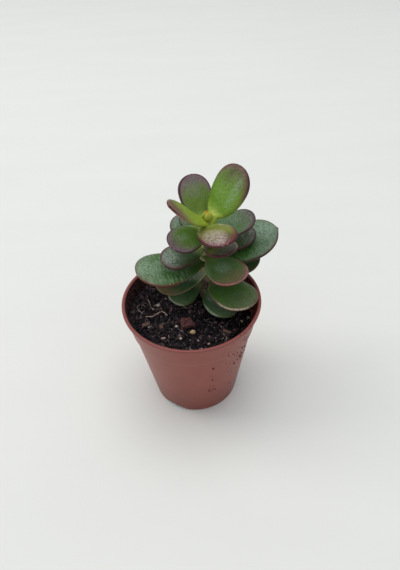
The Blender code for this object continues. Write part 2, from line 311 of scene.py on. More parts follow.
def remeshed(node, voxel):
    """A CAD node's shape as an even, dense mesh."""
    obj = scratch_object("blank", node_mesh(node))
    remesh = obj.modifiers.new("even mesh", "REMESH")
    remesh.mode = "VOXEL"
    remesh.voxel_size = voxel
    bm = evaluated(obj)
    bpy.data.objects.remove(obj)
    return bm


def end_centre(node, top):
    """The middle of a rod's top or bottom end."""
    low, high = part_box(node)
    level = high.z if top else low.z
    near = [v.co for v in frame["nodes"][node].data.vertices if abs(v.co.z - level) < 0.2 * MM]
    return sum(near, Vector()) / len(near)


def smooth_step(value, start, end):
    share = min(1.0, max(0.0, (value - start) / (end - start)))
    return share * share * (3 - 2 * share)


# --- pot ---------------------------------------------------------------------------------------


POT_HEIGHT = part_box("pot")[1].z
RIM_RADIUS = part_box("pot")[1].x
STEP = POT_HEIGHT - COLLAR_HEIGHT


def outer_radius(height):
    """Radius of the outside of the pot's wall."""
    base = RIM_RADIUS - BASE_IN
    if height < STEP:
        return base + (BASE_IN - BODY_TOP_IN) * height / STEP
    share = min(1, (height - STEP) / (COLLAR_HEIGHT - RIM_HEIGHT))
    return RIM_RADIUS - COLLAR_FOOT_IN + (COLLAR_FOOT_IN - COLLAR_TOP_IN) * share


def inner_radius(height):
    return outer_radius(height + WALL) - WALL


def filleted(corners):
    """Points along an outline of (radius, height, rounding) corners, with an arc at each."""
    points = []
    for index, (radius, height, rounding) in enumerate(corners):
        corner = Vector((radius, height))
        if rounding == 0:
            points.append(corner)
            continue
        back = (Vector(corners[index - 1][:2]) - corner).normalized()
        ahead = (Vector(corners[index + 1][:2]) - corner).normalized()
        half = back.angle(ahead) / 2
        reach = rounding / math.tan(half)
        centre = corner + (back + ahead).normalized() * rounding / math.sin(half)
        start = corner + back * reach - centre
        turn = start.angle_signed(corner + ahead * reach - centre)
        for step in range(CORNER_STEPS + 1):
            arm = start.copy()
            arm.rotate(Matrix.Rotation(-turn * step / CORNER_STEPS, 2))
            points.append(centre + arm)
    return points


def pot_outline():
    rim_foot = POT_HEIGHT - RIM_HEIGHT
    rim_inner = RIM_RADIUS - RIM_WIDTH
    ledge = STEP - WALL
    inside = [
        (0, FLOOR, 0),
        (inner_radius(FLOOR), FLOOR, 0.8 * MM),
        (inner_radius(OVER_DRAINS), OVER_DRAINS, 0),
        (inner_radius(ledge - 0.1 * MM), ledge, 0.2 * MM),
        (inner_radius(ledge + 0.1 * MM), ledge + 0.1 * MM, 0.2 * MM),
        (rim_inner, rim_foot, 0),
    ]
    rim = [
        (rim_inner + 0.05 * MM, POT_HEIGHT, 0.5 * MM),
        (RIM_RADIUS, POT_HEIGHT, 0.45 * MM),
        (RIM_RADIUS, rim_foot, 0.3 * MM),
        (outer_radius(rim_foot), rim_foot, 0.2 * MM),
    ]
    outside = [
        (outer_radius(STEP), STEP, 0.35 * MM),
        (outer_radius(STEP - 0.01 * MM), STEP, 0.2 * MM),
        (outer_radius(OVER_DRAINS), OVER_DRAINS, 0),
        (outer_radius(0), 0, 0.5 * MM),
        (0, 0, 0),
    ]
    return filleted(inside + rim + outside)


def drain_cutter(heading):
    bm = bmesh.new()
    near, far = DRAIN_REACH
    bmesh.ops.create_cone(bm, cap_ends=True, segments=48, radius1=1, radius2=1, depth=far - near)
    bmesh.ops.scale(bm, vec=(DRAIN_HEIGHT, DRAIN_HALF_WIDTH, 1), verts=bm.verts)
    bmesh.ops.rotate(bm, matrix=Matrix.Rotation(math.pi / 2, 3, "Y"), verts=bm.verts)
    bmesh.ops.translate(bm, vec=((near + far) / 2, 0, 0), verts=bm.verts)
    bmesh.ops.rotate(bm, matrix=Matrix.Rotation(math.radians(heading), 3, "Z"), verts=bm.verts)
    return scratch_object("drain_cutter", bm)


def make_pot():
    bm = bmesh.new()
    corners = [bm.verts.new((point.x, 0, point.y)) for point in pot_outline()]
    edges = [bm.edges.new(pair) for pair in zip(corners, corners[1:])]
    bmesh.ops.spin(
        bm,
        geom=corners + edges,
        axis=(0, 0, 1),
        cent=(0, 0, 0),
        angle=math.tau,
        steps=POT_STEPS,
        use_merge=True,
    )
    bmesh.ops.remove_doubles(bm, verts=bm.verts, dist=MERGE)
    bmesh.ops.recalc_face_normals(bm, faces=bm.faces)
    blank = scratch_object("pot_blank", bm)
    cutters = [drain_cutter(heading) for heading in DRAIN_HEADINGS]
    for cutter in cutters:
        cut = blank.modifiers.new("drain", "BOOLEAN")
        cut.solver = "EXACT"
        cut.object = cutter
    bm = evaluated(blank)
    for obj in [blank, *cutters]:
        bpy.data.objects.remove(obj)
    inside = bm.verts.layers.float.new("inside")
    for vertex in bm.verts:
        radius = math.hypot(vertex.co.x, vertex.co.y)
        line = outer_radius(vertex.co.z) - WALL / 2
        vertex[inside] = float(radius < line and vertex.co.z < POT_HEIGHT - RIM_HEIGHT / 2)
    add_piece("pot_shell", bm, pot_plastic(), ["pot"], sharp_angle=40)


def pot_plastic():
    """Brick-coloured moulded plastic, a little dusty, with soil dried on it; painted shade towards
    the foot, under the collar's step and inside, and a painted highlight on the step's edge.
    """
    f = Finish("moulded_terracotta_plastic", IOR=1.46, Specular_IOR_Level=0.35)
    x, y, z = f.parts_of(f.place)
    inside = f.read("inside")
    cloudy = f.grain(9 * MM, 3)
    body = f.mix(f.band(cloudy, 0.3, 0.7), paint("#8a4539"), paint("#914b3f"))
    # Painted shade: the body darkens towards the foot.
    lower = f.band(z, 26 * MM, 3 * MM)
    body = f.mix(lower * 0.5, body, paint("#6b342b"))
    rubbed = f.band(f.grain(0.9 * MM, 3, f.stretched(1, 1, 0.25)), 0.55, 0.75)
    body = f.mix(rubbed * 0.08, body, paint("#a2746a"))
    lip = f.band(z, POT_HEIGHT - 1.3 * MM, POT_HEIGHT - 0.6 * MM)
    body = f.mix(lip * 0.5, body, paint("#7e4a48"))
    # A painted shadow under the collar's step and a painted highlight on its edge.
    step_shadow = f.band(z, STEP - 1.1 * MM, STEP - 0.1 * MM) * f.band(z, STEP + 0.2 * MM, STEP)
    step_highlight = f.band(z, STEP, STEP + 0.3 * MM) * f.band(z, STEP + 0.9 * MM, STEP + 0.3 * MM)
    body = f.mix(step_shadow * 0.55, body, paint("#4a2622"))
    body = f.mix(step_highlight * 0.3, body, paint("#a8685c"))
    # Painted shade: the inside of the wall is darkened.
    body = f.mix(inside * 0.8, body, paint("#451c1a"))

    damp = f.grain(3.2 * MM, 4)
    splash = damp + f.band(x, 0.004, 0.024) * 0.26 - f.band(y, -0.014, 0.012) * 0.3
    specks = f.band(f.cells(1.4 * MM), 0.3, 0.16) * f.band(splash, 0.64, 0.8) * (1 - inside)
    low_wall = f.band(z, POT_HEIGHT - 2.0 * MM, POT_HEIGHT - 9 * MM)
    left = f.band(x, 0.006, -0.018)
    crust = f.band(f.grain(1.4 * MM, 4) + low_wall * 0.45 + left * 0.34, 0.66, 0.86) * inside
    dirt = specks + crust
    colour = f.mix(dirt, body, f.mix(f.grain(0.5 * MM), paint("#0d090b"), paint("#352624")))
    fine = f.grain(0.25 * MM, 2) * 0.4 + f.grain(2.5 * MM, 2) * 0.6
    relief = f.bump(fine, 0.02 * MM)
    relief = f.bump(dirt, 0.12 * MM, relief)
    rough = 0.34 + cloudy * 0.1 + dirt * 0.45 + inside * 0.1
    return f.surface(Base_Color=colour, Roughness=rough, Normal=relief)


# --- stem --------------------------------------------------------------------------------------


STEM_LOW = end_centre("stem", top=False)
STEM_HIGH = end_centre("stem", top=True)
STEM_AXIS = (STEM_HIGH - STEM_LOW).normalized()
STEM_LENGTH = (STEM_HIGH - STEM_LOW).length
STEM_LOW_RADIUS = 2.4 * MM
STEM_HIGH_RADIUS = 1.9 * MM
STEM_FOOT = STEM_LOW + STEM_AXIS * 12 * MM  # where it leaves the soil


def stem_station(point):
    """How far along the stem's axis a point lies."""
    return (point - STEM_LOW).dot(STEM_AXIS)


def stem_radius(station):
    share = min(1.0, max(0.0, station / STEM_LENGTH - 0.22) / 0.78)
    return STEM_LOW_RADIUS + (STEM_HIGH_RADIUS - STEM_LOW_RADIUS) * share


def make_stem(stations):
    """A fleshy stem that swells where the leaves join it, barky near the soil."""
    bm = bmesh.new()
    bmesh.ops.create_cone(bm, cap_ends=True, segments=36, radius1=1, radius2=1, depth=1)
    sides = [e for e in bm.edges if abs(e.verts[0].co.z - e.verts[1].co.z) > 0.5]
    bmesh.ops.subdivide_edges(bm, edges=sides, cuts=150, use_grid_fill=True)
    age = bm.verts.layers.float.new("age")
    turn = Vector((0, 0, 1)).rotation_difference(STEM_AXIS).to_matrix()
    for vertex in bm.verts:
        station = (vertex.co.z + 0.5) * STEM_LENGTH
        nearest = min(abs(station - other) for other in stations)
        swell = 0.4 * MM * math.exp(-((nearest / (1.0 * MM)) ** 2))
        groove = 0.12 * MM * math.exp(-(((nearest - 1.3 * MM) / (0.35 * MM)) ** 2))
        old = smooth_step(station, 0.62 * STEM_LENGTH, 0.25 * STEM_LENGTH)
        heading = Vector((vertex.co.x, vertex.co.y, 0))
        seed = heading * 2.2 + Vector((0, 0, station / (1.6 * MM)))
        bark = noise.noise(seed) * (0.10 + 0.22 * old) * MM
        split = heading * 7 + Vector((0, 0, station / (3.2 * MM)))
        fissure = noise.noise(split) * 0.14 * MM * old
        across = stem_radius(station) + swell - groove + bark + fissure
        if station > STEM_LENGTH - 1.2 * MM:
            across *= math.sqrt(max(0.05, (STEM_LENGTH - station) / (1.2 * MM)))
        vertex.co = STEM_LOW + STEM_AXIS * station + turn @ heading * across
        vertex[age] = old
    bmesh.ops.recalc_face_normals(bm, faces=bm.faces)
    add_piece("stem_shoot", bm, stem_skin(), ["stem"])


def stem_skin():
    """Yellow-green at the tip, ageing to grey-brown bark."""
    f = Finish("ageing_stem_skin", Subsurface_Weight=0.08, Subsurface_Scale=1.0 * MM)
    height = f.parts_of(f.place)[2]
    top = STEM_HIGH.z
    green = f.mix(f.band(height, top - 26 * MM, top - 4 * MM), paint("#a09a6c"), paint("#a8b854"))
    patch = f.grain(1.4 * MM, 4, f.stretched(1, 1, 0.35))
    brown = f.ramp(
        patch, (0.3, paint("#40302a")), (0.5, paint("#6a5446")), (0.72, paint("#8f7c68"))
    )
    old = f.band(f.read("age") + (patch - 0.5) * 0.9, 0.3, 0.62)
    colour = f.mix(old, green, brown)
    relief = f.bump(f.grain(0.35 * MM, 4, f.stretched(1, 1, 0.4)), 0.05 * MM)
    return f.surface(Base_Color=colour, Roughness=0.5 + old * 0.35, Normal=relief)


# --- leaves ------------------------------------------------------------------------------------


def width_share(along, look):
    """Half width of a leaf as a share of its greatest, at a share of its length."""
    if along < LEAF_WIDEST:
        share = max(0.0, along - look.stalk) / (LEAF_WIDEST - look.stalk)
        return look.base + (1 - look.base) * math.sin(math.pi / 2 * share) ** look.rise
    past = (along - LEAF_WIDEST) / (1 - LEAF_WIDEST)
    return math.sqrt(max(0.0, 1 - past**2.3))


def thickness_share(along, width):
    body = 0.6 + 0.4 * math.sin(math.pi * max(along, 0)) + 0.35 * smooth_step(along, 0.2, 0)
    return body * math.sqrt(width) if along > LEAF_WIDEST else body


class Blade:
    """A leaf's own axes, measured from its CAD node: a centre line, its side and its size."""

    def __init__(self, node):
        bm = node_mesh(node)
        most = max(len(vertex.link_edges) for vertex in bm.verts)
        poles = [vertex for vertex in bm.verts if len(vertex.link_edges) == most]
        poles.sort(key=lambda vertex: self.off_stem(vertex.co))
        rings = [[poles[0]]]
        seen = set(rings[0])
        while len(seen) < len(bm.verts):
            ring = {e.other_vert(v) for v in rings[-1] for e in v.link_edges} - seen
            rings.append(sorted(ring, key=lambda vertex: vertex.index))
            seen |= ring
        centres = [sum((v.co for v in ring), Vector()) / len(ring) for ring in rings]
        steps = len(rings) - 1
        shares = [(1 - math.cos(math.pi * index / steps)) / 2 for index in range(steps + 1)]
        self.line = np.polyfit(shares, np.array(centres), 3)
        self.foot = centres[0]
        self.length = (centres[-1] - centres[0]).length
        spans = []
        for ring in rings[1:-1]:
            far = max(ring, key=lambda v: (v.co - ring[0].co).length)
            other = max(ring, key=lambda v: (v.co - far.co).length)
            spans.append(other.co - far.co)
        widest = max(spans, key=lambda span: span.length)
        self.half_width = widest.length / 2
        self.side = widest.normalized()
        if self.side.cross(self.tangent(0.5)).z > 0:
            self.side = -self.side
        bm.free()

    def off_stem(self, point):
        return (point - STEM_LOW - STEM_AXIS * stem_station(point)).length

    def at(self, along):
        powers = (along**3, along**2, along, 1)
        return Vector(sum(p * c for p, c in zip(powers, self.line)))

    def tangent(self, along):
        powers = (3 * along**2, 2 * along, 1, 0)
        return Vector(sum(p * c for p, c in zip(powers, self.line))).normalized()

    def normal(self, along):
        return self.tangent(along).cross(self.side).normalized()


def leaf_outline(blade, look):
    """Points round one half of a leaf's outline, in its own plane."""
    points = []
    for share in np.linspace(0, 1, 90):
        points.append((share * blade.length, width_share(share, look) * blade.half_width))
    return np.array(points)


def squared(share):
    """Moves a point of a circle out to a blunter curve."""
    return math.copysign(abs(share) ** (2 / LEAF_EDGE_POWER), share)


def make_leaf(node, look):
    """Makes a leaf, and returns how far up the stem it joins."""
    blade = Blade(node)
    half_width = blade.half_width * look.narrow
    half_thickness = LEAF_THICKNESS_RATIO * blade.length / 2
    station = stem_station(blade.foot)
    inward = (blade.off_stem(blade.foot) - 0.3 * stem_radius(station)) / blade.length
    seed = Vector((blade.foot.z, blade.side.x, blade.side.y)) * 40
    outline = leaf_outline(blade, look)
    bm = bmesh.new()
    bmesh.ops.create_uvsphere(bm, u_segments=LEAF_SEGMENTS, v_segments=LEAF_RINGS, radius=1)
    place = bm.verts.layers.float_vector.new("place")
    upper = bm.verts.layers.float.new("upper")
    for vertex in bm.verts:
        along = (vertex.co.z + 1) / 2 * (1 + inward) - inward
        inner = max(0.0, along)
        ring = math.hypot(vertex.co.x, vertex.co.y)
        at_pole = ring < 1e-4
        sideways = 0 if at_pole else squared(vertex.co.x / ring)
        upwards = 0 if at_pole else squared(vertex.co.y / ring)
        wave = noise.noise(seed + Vector((along * 2.4, sideways * 0.8, 0)))
        share = width_share(along, look)
        fuller = 1 + look.skew * sideways * math.sin(math.pi * inner**0.6)
        width = half_width * share * fuller * (1 + LEAF_WAVE * wave)
        belly = 0.92 if upwards > 0 else 1.08
        thickness = half_thickness * thickness_share(along, share) * belly
        dish = look.dish * half_width * (sideways**2 - 0.35) * math.sin(math.pi * inner)
        lumps = noise.noise(seed + Vector((along * 3.1, sideways * 1.7, 2)))
        swell = LEAF_SWELL * blade.length * lumps
        tip = look.point * blade.length * smooth_step(along, 0.86, 1) * (1 - abs(sideways)) ** 0.5
        vertex.co = (
            blade.at(along)
            + blade.tangent(along) * tip
            + blade.side * sideways * width
            + blade.normal(along) * (upwards * thickness + dish + swell * share)
        )
        spot = np.array([inner * blade.length, abs(sideways) * width])
        inset = float(np.min(np.hypot(*(outline - spot).T)))
        vertex[place] = (along, sideways * width, inset)
        vertex[upper] = upwards
    add_piece(node + "_blade", bm, leaf_skin(node, look), [node])
    return station


class Look:
    """How one leaf is coloured: its foot, blade and tip, its margin, and what lies over them."""

    def __init__(self, foot, blade, tip, margin, **extras):
        self.foot = paint(foot)
        self.blade = paint(blade)
        self.tip = paint(tip)
        self.margin = paint(margin)
        self.slot = extras.get("slot", "leaf")
        self.margin_width = extras.get("margin_width", 0.58) * MM
        self.margin_from = extras.get("margin_from", 0.4)  # share of the length where it darkens
        self.flush = extras.get("flush", 0.4)  # red that spreads in from the margin
        self.flush_colour = paint(extras.get("flush_colour", "#6e3c40"))
        self.wax_and_sheen = extras.get("wax_and_sheen", 0.35)  # pale wax, partly a painted sheen
        self.streaks = extras.get("streaks", 0.0)
        self.dish = extras.get("dish", 0.05)
        self.point = extras.get("point", 0.0)
        self.base = extras.get("base", 0.32)  # width at the foot, as a share of the greatest
        self.stalk = extras.get("stalk", 0.0)  # share of the length before the blade widens
        self.rise = extras.get("rise", 1.1)  # the lower, the blunter the foot
        self.skew = extras.get("skew", 0.0)  # above 0, fuller on its left side
        self.narrow = extras.get("narrow", 1.0)
        self.under = extras.get("under", 0.18)  # how much of the flush shows on the underside
        self.sheens = extras.get("sheens", ())
        self.glint = extras.get("glint")


class Sheen:
    """A painted sheen, a pale highlight patch: where it lies along and across a leaf, how far it
    reaches, how strong.
    """

    def __init__(self, along, aside, reach_along, reach_aside, strength, colour="#a4baa2"):
        self.along = along
        self.aside = aside * MM
        self.reach_along = reach_along
        self.reach_aside = reach_aside * MM
        self.strength = strength
        self.colour = paint(colour)


class Glint:
    """A painted highlight along a stretch of margin: where it starts and ends, on which side (0
    for both).
    """

    def __init__(self, start, end, side, strength, colour):
        self.start = start
        self.end = end
        self.side = side
        self.strength = strength
        self.colour = paint(colour)


PLUM = "#3b1318"
CRIMSON = "#5c222b"
RUSSET = "#64342a"
LOOKS = {
    "leaf_01": Look(
        "#b6c64e", "#678c20", "#54502a", "#32171b", slot="young_leaf", flush=0.95, wax_and_sheen=0.04,
        stalk=0.1, rise=0.6, base=0.34, skew=-0.08, margin_from=0.68, margin_width=0.6,
        flush_colour="#64362f", sheens=[Sheen(0.6, -4, 0.34, 2.4, 0.4, "#9cb098")]
    ),
    "leaf_02": Look(
        "#a8b63c", "#94aa3a", "#64422e", "#5a2226", slot="young_leaf", flush=0.25, wax_and_sheen=0.04,
        margin_width=0.6, narrow=0.85, base=0.42, point=0.06, under=0.5, flush_colour="#94685c"
    ),
    "leaf_03": Look(
        "#c6e672", "#6b8434", "#786466", PLUM, slot="young_leaf", flush=0.9, wax_and_sheen=0.25,
        flush_colour="#80626e", narrow=1.06, rise=0.8,
        sheens=[Sheen(0.68, 1, 0.22, 4, 0.3, "#8f947c")]
    ),
    "leaf_04": Look(
        "#8ea84e", "#7e823c", "#4a281e", "#48121a", slot="young_leaf", flush=1.0, wax_and_sheen=0.0,
        flush_colour="#6a2a30", margin_width=0.9, rise=0.75,
        sheens=[Sheen(0.7, -1.6, 0.36, 5.6, 0.95, "#bda8a2")]
    ),
    "leaf_05": Look(
        "#425e26", "#6c9456", "#563a3a", PLUM, flush=0.85, wax_and_sheen=0.6, rise=0.6, base=0.66,
        flush_colour="#5c464c", sheens=[Sheen(0.45, 0.5, 0.3, 4, 0.7)]
    ),
    "leaf_06": Look(
        "#c8e488", "#628638", "#604c4a", PLUM, flush=0.9, wax_and_sheen=0.25, flush_colour="#6e5262",
        rise=0.8, sheens=[Sheen(0.62, -1, 0.2, 2.5, 0.3)]
    ),
    "leaf_07": Look("#3d5c22", "#42602f", "#5e6e5c", PLUM, wax_and_sheen=0.55),
    "leaf_08": Look(
        "#768a34", "#5c6228", "#3e2418", "#4e1c22", flush=0.7, flush_colour="#4a2226", wax_and_sheen=0.2,
        glint=Glint(0.62, 0.84, 1, 0.6, "#b09c98")
    ),
    "leaf_09": Look(
        "#3a4a1e", "#434e2a", "#40342e", PLUM, flush=0.5, wax_and_sheen=0.6, flush_colour="#4c3638"
    ),
    "leaf_10": Look(
        "#7c8a52", "#2f4624", "#4a4e48", PLUM, flush=0.5, wax_and_sheen=0.52, rise=0.7,
        sheens=[Sheen(0.8, -1, 0.18, 4, 0.4)]
    ),
    "leaf_11": Look("#3d5c22", "#4a6a38", "#728272", PLUM, wax_and_sheen=0.7),
    "leaf_12": Look(
        "#6a7c3c", "#4a6a32", "#665834", "#6c3034", wax_and_sheen=0.15, flush=0.5, stalk=0.12,
        rise=0.6, base=0.25, skew=0.06, sheens=[Sheen(0.5, 0, 0.2, 4, 0.4)],
        glint=Glint(0.72, 1.0, 0, 0.52, "#b8807e")
    ),
    "leaf_13": Look(
        "#4a4426", "#335a20", "#506a4e", PLUM, wax_and_sheen=0.52, streaks=0.35, point=0.03, flush=0.3,
        rise=0.8, sheens=[Sheen(0.8, 2, 0.22, 7, 0.45)]
    ),
    "leaf_14": Look(
        "#45582a", "#355e18", "#4a6438", RUSSET, wax_and_sheen=0.44, streaks=0.8, flush=0.25, rise=0.9,
        sheens=[Sheen(0.85, -2, 0.2, 5, 0.4)]
    ),
    "leaf_15": Look("#2f4a1c", "#33521e", "#3c5424", "#4e4428", flush=0.1, wax_and_sheen=0.1),
    # leaf_16: its pale foot and the sheen over it are a painted sheen.
    "leaf_16": Look(
        "#b4be90", "#42623a", "#7c6a4a", "#6c5c40", flush=0.2, base=0.45, rise=0.8, wax_and_sheen=0.2,
        sheens=[Sheen(0.2, 0, 0.3, 4.5, 1.2)]
    ),
    "leaf_17": Look(
        "#a09270", "#46682a", "#505c32", "#724c44", margin_width=0.45, wax_and_sheen=0.2, flush=0.25,
        stalk=0.14, rise=0.55, base=0.22, glint=Glint(0.6, 0.96, -1, 0.85, "#b4ac92")
    ),
    "leaf_18": Look(
        "#969068", "#44603a", "#506a3c", "#4a4a2c", flush=0.1, wax_and_sheen=0.2,
        glint=Glint(0.86, 1.0, 0, 0.7, "#a8b09a")
    ),
    "leaf_19": Look(
        "#7e8a60", "#4a6e3e", "#587446", "#5a6444", flush=0.1, wax_and_sheen=0.2, margin_width=0.35,
        stalk=0.12, rise=0.6, base=0.25, glint=Glint(0.5, 0.85, -1, 0.85, "#b0baa0"),
        sheens=[Sheen(0.35, -2.5, 0.12, 2, 0.5)]
    ),
    "leaf_20": Look("#34502a", "#325026", "#4c6240", PLUM),
}


def leaf_skin(node, look):
    """Waxy skin: green with a purple-red margin, pale wax that is partly a painted sheen, painted
    sheens and margin highlights, and fine pits.
    """
    f = Finish(
        node + "_skin",
        Subsurface_Weight=0.12,
        Subsurface_Scale=1.2 * MM,
        Subsurface_Radius=(0.5, 1.0, 0.25),
        IOR=1.45,
        Specular_IOR_Level=0.38,
    )
    along, sideways, inset = f.parts_of(f.read("place", "Vector"))
    upper = f.band(f.read("upper"), -0.35, 0.1)
    patchy = f.grain(4.5 * MM, 3) - 0.5
    mottle = f.grain(0.9 * MM, 3)
    colour = f.mix(f.band(along + patchy * 0.2, 0.0, 0.3), look.foot, look.blade)
    colour = f.mix(f.band(along + patchy * 0.35, 0.5, 0.98), colour, look.tip)
    dark = f.mix(1, colour, (0.45, 0.55, 0.4), "MULTIPLY")
    colour = f.mix(f.band(mottle, 0.42, 0.66) * 0.35, colour, dark)

    spread = f.band(inset + patchy * 1.6 * MM, 2.4 * MM, 0.2 * MM)
    tipwards = f.band(along, 0.3, 0.85)
    colour = f.mix(spread * (0.12 + tipwards * 0.88) * look.flush, colour, look.flush_colour)

    # Pale wax and streaks on the upper face towards the tip, partly real wax and partly a painted
    # sheen.
    speckle = f.band(f.grain(0.8 * MM, 4), 0.43, 0.57)
    cover = f.band(along + patchy * 0.8, 0.42, 0.78) * f.band(inset, 0.35 * MM, 1.7 * MM) * upper
    wax_and_sheen = (speckle * 0.7 + 0.3) * cover * look.wax_and_sheen
    if look.streaks:
        wavy = f.grain(1, 2, streak_place(f, along, sideways), 1.2)
        lines = f.band(wavy, 0.5, 0.58) * f.band(along, 0.15, 0.45) * upper
        wax_and_sheen = wax_and_sheen.at_least(lines * look.streaks * 0.7)
    colour = f.mix(wax_and_sheen * 0.6, colour, paint("#a0b69c"))
    # Painted sheens: pale highlight patches.
    for sheen in look.sheens:
        share = sheen_share(f, sheen, along, sideways) * (speckle * 0.6 + 0.2)
        colour = f.mix(share, colour, sheen.colour)

    colour = f.mix((1 - upper) * look.under, colour, look.flush_colour)
    line = f.band(inset + (mottle - 0.5) * 0.3 * MM, look.margin_width, look.margin_width * 0.3)
    away = f.band(along, look.margin_from - 0.2, look.margin_from + 0.2)
    colour = f.mix(line * (0.1 + away * 0.85), colour, look.margin)
    # Painted highlight along part of the margin.
    if look.glint:
        glint = look.glint
        stretch = f.band(along, glint.start - 0.08, glint.start + 0.06)
        stretch = stretch * f.band(along, glint.end + 0.12, glint.end - 0.04)
        if glint.side:
            stretch = stretch * f.band(sideways * glint.side, -1.0 * MM, 1.5 * MM)
        edge = f.band(inset, 0.95 * MM, 0.4 * MM) * f.band(f.read("upper"), -0.1, 0.3)
        share = edge * stretch * (0.45 + speckle * 0.55) * glint.strength
        colour = f.mix(share, colour, glint.colour)

    pits = f.cells(0.62 * MM) * 0.6 + f.grain(0.34 * MM, 2) * 0.4
    relief = f.bump(f.grain(3.0 * MM, 2), 0.3 * MM)
    relief = f.bump(pits, 0.11 * MM, relief)
    rough = 0.24 + mottle * 0.16 + wax_and_sheen * 0.06 + line * 0.2
    return f.surface(Base_Color=colour, Roughness=rough, Normal=relief)


def sheen_share(f, sheen, along, sideways):
    """1 in the middle of a sheen, 0 past its reach."""
    ahead = (along - sheen.along) * (1 / sheen.reach_along)
    aside = (sideways - sheen.aside) * (1 / sheen.reach_aside)
    return f.band(ahead * ahead + aside * aside, 1.1, 0.1) * sheen.strength


def streak_place(f, along, sideways):
    """Coordinates that make noise run in fine wavy lines across a leaf's length."""
    inputs = {0: along * 34, 1: sideways * (1 / (4.5 * MM)), 2: 0}
    return f.node("CombineXYZ", None, inputs)


# --- bud ---------------------------------------------------------------------------------------


def make_bud():
    """Two leaflets pressed face to face, and a smaller one that shows between them."""
    low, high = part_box("bud")
    height = high.z - low.z
    centre = Vector(((low.x + high.x) / 2 + 0.5 * MM, (low.y + high.y) / 2, low.z + 0.5 * MM))
    bm = bmesh.new()
    leaflets = ((-0.8, 2.15, 1.5, 0.72), (0.8, 2.1, 1.5, 0.66), (0, 1.2, 1.1, 0.84))
    ripe = bm.verts.layers.float.new("ripe")
    for offset, width, depth, rise in leaflets:
        made = bmesh.ops.create_uvsphere(bm, u_segments=24, v_segments=18, radius=1)["verts"]
        for vertex in made:
            share = (vertex.co.z + 1) / 2
            narrow = 1 - 0.35 * share**2
            vertex[ripe] = share * (0.86 if offset else 1)
            lean = offset * (1 + 0.25 * math.sin(math.pi * share))
            vertex.co = (
                vertex.co.x * width * narrow * MM,
                (lean + vertex.co.y * depth * 0.62 * narrow) * MM,
                share * height * rise * 0.97 - 0.6 * MM * (1 - share),
            )
    bmesh.ops.rotate(bm, matrix=Matrix.Rotation(math.radians(28), 3, "Z"), verts=bm.verts)
    bmesh.ops.translate(bm, vec=centre, verts=bm.verts)
    add_piece("bud_leaflets", bm, bud_skin(), ["bud"])


def bud_skin():
    """Yellow-green, orange where it is about to open."""
    f = Finish("bud_skin", Subsurface_Weight=0.2, Subsurface_Scale=1.0 * MM)
    ripe = f.read("ripe") + (f.grain(0.8 * MM, 3) - 0.5) * 0.3
    colour = f.ramp(
        ripe, (0.3, paint("#a3b048")), (0.74, paint("#b8b83e")), (0.9, paint("#c09a34")),
        (1.05, paint("#b8702c"))
    )
    relief = f.bump(f.grain(0.4 * MM, 2), 0.03 * MM)
    return f.surface(Base_Color=colour, Roughness=0.42 + ripe * 0.08, Normal=relief)


# --- soil --------------------------------------------------------------------------------------


class Ground:
    """The height of the potting mix under a place, from the CAD soil."""

    def __init__(self):
        bm = node_mesh("soil")
        self.tree = BVHTree.FromBMesh(bm)
        bm.free()
        foot = [v.co for v in frame["nodes"]["soil"].data.vertices if v.co.z > 0.04]
        self.level = sum(co.z for co in foot) / len(foot)

    def drop(self, x, y):
        """The CAD soil's height here, or None over the stem's hole or past its edge."""
        hit = self.tree.ray_cast(Vector((x, y, POT_HEIGHT)), Vector((0, 0, -1)))[0]
        return hit.z if hit is not None and hit.z > self.level - 5 * MM else None

    def base(self, x, y):
        from_stem = Vector((x - STEM_FOOT.x, y - STEM_FOOT.y))
        if from_stem.length < STEM_HOLE:
            beside = STEM_HOLE + 0.2 * MM
            around = [self.drop(STEM_FOOT.x + reach, STEM_FOOT.y) for reach in (-beside, beside)]
            return sum(around) / len(around)
        for shrink in (1, 0.985, 0.96, 0.93):
            height = self.drop(x * shrink, y * shrink)
            if height is not None:
                return height
        return self.level

    def height(self, x, y):
        """The base height, broken into clods."""
        spot = Vector((x, y, 0.4 * MM)) / CLOD_SIZE
        cell = noise.voronoi(spot)[0][0]
        fine = noise.voronoi(spot * 2.3)[0][0]
        rough = noise.turbulence(spot * 3, 3, False)
        clods = (0.5 - cell) * 2.2 * MM + (0.5 - fine) * 1.0 * MM + (rough - 0.6) * 0.4 * MM
        return self.base(x, y) + clods


def make_soil(ground):
    bm = bmesh.new()
    bmesh.ops.create_grid(bm, x_segments=SOIL_CELLS, y_segments=SOIL_CELLS, size=1)
    for vertex in bm.verts:
        u, v = vertex.co.x, vertex.co.y
        x = u * math.sqrt(1 - v * v / 2)
        y = v * math.sqrt(1 - u * u / 2)
        edge = inner_radius(ground.level - 0.15 * x * RIM_RADIUS) - SOIL_GAP
        spot = Vector((x, y)) * edge
        height = ground.height(spot.x, spot.y)
        reach = min(edge, inner_radius(height) - SOIL_GAP)
        if math.hypot(x, y) > 0.9:
            spot *= reach / edge
        vertex.co = (spot.x, spot.y, height)
    rim = [edge for edge in bm.edges if edge.is_boundary]
    for level, radius in soil_sides():
        grown = bmesh.ops.extrude_edge_only(bm, edges=rim)["geom"]
        rim = [item for item in grown if isinstance(item, bmesh.types.BMEdge)]
        for vertex in {v for edge in rim for v in edge.verts}:
            out = Vector((vertex.co.x, vertex.co.y)).normalized() * radius
            vertex.co = (out.x, out.y, level)
    bmesh.ops.holes_fill(bm, edges=rim, sides=0)
    bmesh.ops.recalc_face_normals(bm, faces=bm.faces)
    add_piece("soil_bed", bm, soil_finish("peat_bed", tone=None), ["soil"])


def soil_sides():
    """Heights and radii down the plug's side, from under its top to its foot."""
    return (
        (40 * MM, inner_radius(40 * MM) - SOIL_GAP),
        (4 * MM, inner_radius(4 * MM) - 0.3 * MM),
        (FLOOR + 0.3 * MM, 14.6 * MM),
    )


